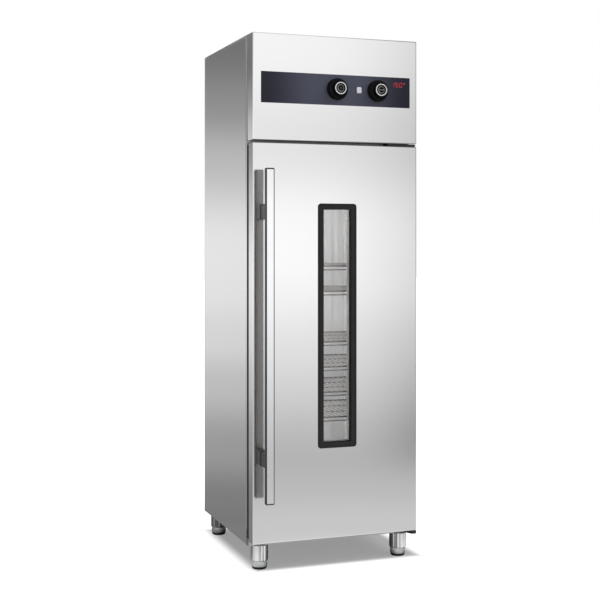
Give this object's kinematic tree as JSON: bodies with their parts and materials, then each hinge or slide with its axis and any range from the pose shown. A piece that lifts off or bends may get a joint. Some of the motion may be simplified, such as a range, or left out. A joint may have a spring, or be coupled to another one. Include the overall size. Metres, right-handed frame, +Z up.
{
  "type": "dish sterilizer cabinet",
  "caption": "Tall stainless steel cabinet for drying and sterilizing dishes: narrow window door with a long bar handle, head with knobs, wire shelves, levelling feet.",
  "frame": {"origin": "middle of the cabinet's plan on the floor, between the front of the handle and the nose of the cable gland", "axes": "+Z up, -Y out of the front of the door, +X to the right of someone facing the door"},
  "size_m": [0.62, 0.7154, 1.865],
  "materials": {
    "stainless_outer": "satin",
    "stainless_inner": "satin",
    "polished_steel": "polished",
    "black_plastic": "satin",
    "dark_plastic": "satin",
    "white_plastic": "gloss",
    "black_rubber": "matte",
    "dark_glass": "gloss",
    "clear_glass": "clear",
    "circuit_board": "matte",
    "mineral_wool": "matte",
    "cast_aluminium": "cast",
    "dark_steel": "satin"
  },
  "bodies": {
    "cabinet": {"side_panel_left": "stainless_outer", "side_panel_right": "stainless_outer", "top_panel": "stainless_outer", "back_panel": "stainless_outer", "base_pan": "stainless_outer", "front_sill": "stainless_outer", "stile_left": "stainless_outer", "stile_right": "stainless_outer", "header_rail": "stainless_outer", "head_cover": "stainless_outer", "liner_left": "stainless_inner", "liner_right": "stainless_inner", "liner_back": "stainless_inner", "liner_floor": "stainless_inner", "liner_ceiling": "stainless_inner", "fan_baffle": "stainless_inner", "rear_duct": "stainless_inner", "rack_left": "polished_steel", "rack_right": "polished_steel", "temperature_probe": "polished_steel", "foot_tube_front_left": "polished_steel", "foot_tube_front_right": "polished_steel", "foot_tube_back_left": "polished_steel", "foot_tube_back_right": "polished_steel", "cable_gland": "black_plastic", "timer_body": "dark_plastic", "thermostat_body": "dark_plastic", "control_glass": "dark_glass", "control_board": "circuit_board", "insulation": "mineral_wool", "fan_motor": "cast_aluminium", "upper_hinge_bracket": "dark_steel", "lower_hinge_bracket": "dark_steel", "heater_element": "dark_steel"},
    "door": {"door_skin": "stainless_outer", "door_core": "mineral_wool", "door_liner": "stainless_inner", "window_frame": "black_rubber", "window_pane_outer": "clear_glass", "window_pane_inner": "clear_glass", "door_gasket": "black_rubber", "handle_bar": "dark_plastic", "handle_face": "polished_steel", "handle_bracket_upper": "dark_plastic", "handle_bracket_lower": "dark_plastic"},
    "timer_knob_body": {"timer_knob": "black_plastic"},
    "thermostat_knob_body": {"thermostat_knob": "black_plastic"},
    "start_button_body": {"start_button": "white_plastic"},
    "fan_impeller_body": {"fan_impeller": "cast_aluminium"},
    "drip_tray_body": {"drip_tray": "stainless_inner"},
    "shelf_1_body": {"shelf_1": "polished_steel"},
    "shelf_2_body": {"shelf_2": "polished_steel"},
    "shelf_3_body": {"shelf_3": "polished_steel"},
    "shelf_4_body": {"shelf_4": "polished_steel"},
    "shelf_5_body": {"shelf_5": "polished_steel"},
    "shelf_6_body": {"shelf_6": "polished_steel"},
    "foot_base_front_left_body": {"foot_base_front_left": "polished_steel"},
    "foot_base_front_right_body": {"foot_base_front_right": "polished_steel"},
    "foot_base_back_left_body": {"foot_base_back_left": "polished_steel"},
    "foot_base_back_right_body": {"foot_base_back_right": "polished_steel"}
  },
  "joints": [
    {"name": "door_hinge", "type": "hinge", "parent": "cabinet", "child": "door", "pos_m": [0.302, -0.28025, 0.1], "axis": [0, 0, 1], "range_deg": [0, 115]},
    {"name": "timer_turn", "type": "hinge", "parent": "cabinet", "child": "timer_knob_body", "pos_m": [0.0008, -0.28825, 1.68], "axis": [0, 1, 0], "range_deg": [0, 330]},
    {"name": "thermostat_turn", "type": "hinge", "parent": "cabinet", "child": "thermostat_knob_body", "pos_m": [0.1555, -0.28825, 1.68], "axis": [0, 1, 0], "range_deg": [0, 300]},
    {"name": "start_press", "type": "slide", "parent": "cabinet", "child": "start_button_body", "axis": [0, 1, 0], "range_m": [0, 0.0025], "stiffness_N_per_m": 400, "springref_m": -0.001},
    {"name": "fan_spin", "type": "hinge", "parent": "cabinet", "child": "fan_impeller_body", "pos_m": [0, 0.05505, 1.41], "axis": [0, 0, 1], "continuous": true},
    {"name": "shelf_1_slide", "type": "slide", "parent": "cabinet", "child": "shelf_1_body", "axis": [0, -1, 0], "range_m": [0, 0.055]},
    {"name": "shelf_2_slide", "type": "slide", "parent": "cabinet", "child": "shelf_2_body", "axis": [0, -1, 0], "range_m": [0, 0.055]},
    {"name": "shelf_3_slide", "type": "slide", "parent": "cabinet", "child": "shelf_3_body", "axis": [0, -1, 0], "range_m": [0, 0.055]},
    {"name": "shelf_4_slide", "type": "slide", "parent": "cabinet", "child": "shelf_4_body", "axis": [0, -1, 0], "range_m": [0, 0.055]},
    {"name": "shelf_5_slide", "type": "slide", "parent": "cabinet", "child": "shelf_5_body", "axis": [0, -1, 0], "range_m": [0, 0.055]},
    {"name": "shelf_6_slide", "type": "slide", "parent": "cabinet", "child": "shelf_6_body", "axis": [0, -1, 0], "range_m": [0, 0.055]},
    {"name": "tray_slide", "type": "slide", "parent": "cabinet", "child": "drip_tray_body", "axis": [0, -1, 0], "range_m": [0, 0.05]},
    {"name": "foot_front_left_turn", "type": "hinge", "parent": "cabinet", "child": "foot_base_front_left_body", "pos_m": [-0.265, -0.22225, 0], "axis": [0, 0, 1], "range_deg": [0, 720]},
    {"name": "foot_front_right_turn", "type": "hinge", "parent": "cabinet", "child": "foot_base_front_right_body", "pos_m": [0.265, -0.22225, 0], "axis": [0, 0, 1], "range_deg": [0, 720]},
    {"name": "foot_back_left_turn", "type": "hinge", "parent": "cabinet", "child": "foot_base_back_left_body", "pos_m": [-0.265, 0.29375, 0], "axis": [0, 0, 1], "range_deg": [0, 720]},
    {"name": "foot_back_right_turn", "type": "hinge", "parent": "cabinet", "child": "foot_base_back_right_body", "pos_m": [0.265, 0.29375, 0], "axis": [0, 0, 1], "range_deg": [0, 720]}
  ]
}
